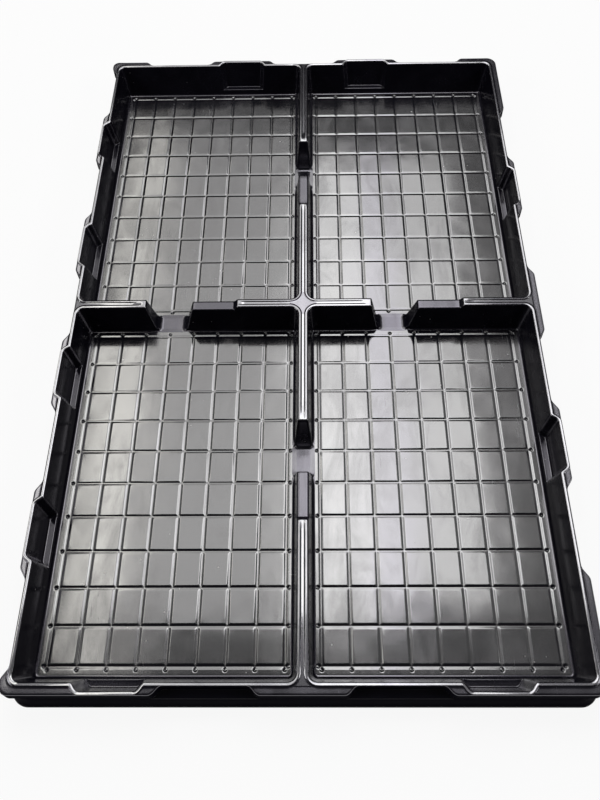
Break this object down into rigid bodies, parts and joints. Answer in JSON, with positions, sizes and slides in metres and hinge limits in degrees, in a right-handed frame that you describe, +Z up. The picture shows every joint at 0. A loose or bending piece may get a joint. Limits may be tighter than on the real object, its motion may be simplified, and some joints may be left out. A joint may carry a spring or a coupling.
{
  "type": "growing tray",
  "caption": "Shallow black plastic growing tray with four bays, raised pads between drainage grooves, a hollow cross divider and a castellated stacking rim.",
  "frame": {"origin": "on the ground under the centre of the tray's footprint", "axes": "+X across the tray, +Y along its length towards the far end, +Z up"},
  "size_m": [0.39, 0.6, 0.035],
  "materials": {
    "moulded_sheet": "glossy thermoformed black sheet"
  },
  "bodies": {
    "root": {"divider_far_first_ridge": "moulded_sheet", "divider_far_gap_floor": "moulded_sheet", "divider_far_second_ridge": "moulded_sheet", "divider_hub": "moulded_sheet", "divider_left_first_ridge": "moulded_sheet", "divider_left_gap_floor": "moulded_sheet", "divider_left_second_ridge": "moulded_sheet", "divider_near_first_ridge": "moulded_sheet", "divider_near_gap_floor": "moulded_sheet", "divider_near_second_ridge": "moulded_sheet", "divider_right_first_ridge": "moulded_sheet", "divider_right_gap_floor": "moulded_sheet", "divider_right_second_ridge": "moulded_sheet", "floor_far_left": "moulded_sheet", "floor_far_right": "moulded_sheet", "floor_near_left": "moulded_sheet", "floor_near_right": "moulded_sheet", "rim_corner_far_left": "moulded_sheet", "rim_corner_far_right": "moulded_sheet", "rim_corner_near_left": "moulded_sheet", "rim_corner_near_right": "moulded_sheet", "rim_strips_far": "moulded_sheet", "rim_strips_left": "moulded_sheet", "rim_strips_near": "moulded_sheet", "rim_strips_right": "moulded_sheet", "rim_tabs_far": "moulded_sheet", "rim_tabs_left": "moulded_sheet", "rim_tabs_near": "moulded_sheet", "rim_tabs_right": "moulded_sheet", "skirt_far": "moulded_sheet", "skirt_left": "moulded_sheet", "skirt_near": "moulded_sheet", "skirt_right": "moulded_sheet", "wall_far_left": "moulded_sheet", "wall_far_right": "moulded_sheet", "wall_left_far": "moulded_sheet", "wall_left_near": "moulded_sheet", "wall_near_left": "moulded_sheet", "wall_near_right": "moulded_sheet", "wall_right_far": "moulded_sheet", "wall_right_near": "moulded_sheet"}
  },
  "joints": []
}
